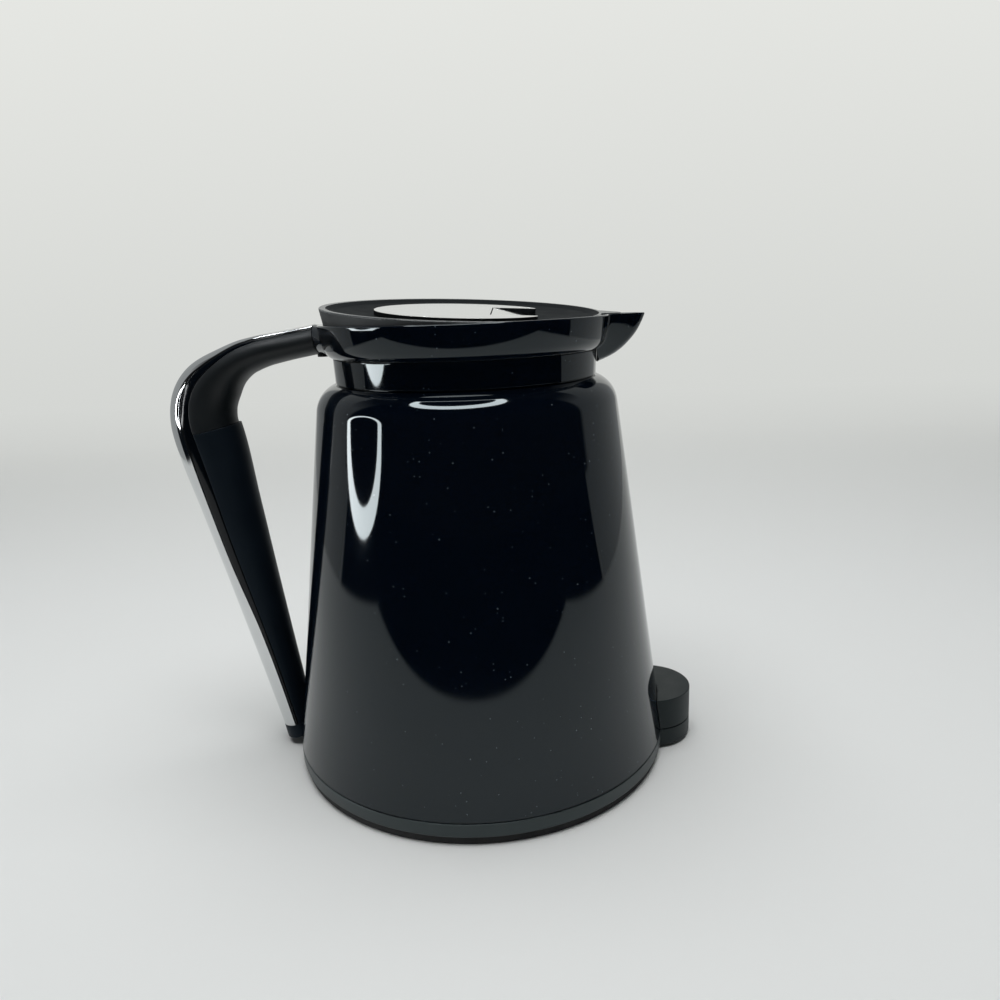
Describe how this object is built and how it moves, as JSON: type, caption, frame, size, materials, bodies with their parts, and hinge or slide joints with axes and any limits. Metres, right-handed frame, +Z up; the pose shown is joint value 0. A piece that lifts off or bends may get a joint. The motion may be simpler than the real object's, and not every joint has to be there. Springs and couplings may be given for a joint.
{
  "type": "thermal carafe",
  "caption": "Leaning round thermal carafe with gloss shell, steel liner, loop handle with a bright strip, spout, docking lug and a lift-off lid with a hinged brew flap.",
  "frame": {"origin": "centre of the flat face that the carafe stands on, on the axis of the round body", "axes": "+Z up along the body's axis, +X towards the spout and the docking lug, the handle on -X"},
  "size_m": [0.1796, 0.1322, 0.1603],
  "materials": {
    "body_gloss": "high gloss black",
    "base_satin": "satin dark grey",
    "foot_rubber": "matte black",
    "seal_rubber": "soft grey",
    "liner_steel": "brushed",
    "handle_gloss": "high gloss black",
    "handle_matte": "soft matte black",
    "trim_chrome": "bright plated",
    "lid_matte": "matte black",
    "plate_chrome": "bright plated",
    "screw_steel": "zinc plated"
  },
  "bodies": {
    "carafe": {"outer_shell": "body_gloss", "neck_ring": "body_gloss", "pour_collar": "body_gloss", "base_ring": "base_satin", "base_plate": "base_satin", "lug_cover": "base_satin", "foot_pad": "foot_rubber", "liner_cushion": "foot_rubber", "liner_seal": "seal_rubber", "inner_liner": "liner_steel", "liner_neck": "liner_steel", "handle_frame": "handle_gloss", "handle_bend_cover": "handle_matte", "handle_grip": "handle_matte", "handle_end_cap": "handle_matte", "handle_trim": "trim_chrome", "base_screws": "screw_steel", "lug_screw": "screw_steel", "bridge_screw": "screw_steel", "handle_foot_screw": "screw_steel"},
    "lid": {"lid_shell": "lid_matte", "lid_plate": "plate_chrome", "flap_pin": "screw_steel", "lid_plug": "lid_matte", "lid_seal": "seal_rubber", "lid_screws": "screw_steel"},
    "flap": {"brew_flap": "plate_chrome"}
  },
  "joints": [
    {"name": "lid_lift", "type": "slide", "parent": "carafe", "child": "lid", "axis": [0, 0, 1], "range_m": [0, 0.06]},
    {"name": "flap_swing", "type": "hinge", "parent": "lid", "child": "flap", "pos_m": [0.00919, 0.00021, 0.15252], "axis": [0.0017, 0.9983, 0.0589], "range_deg": [-7, 50]}
  ]
}
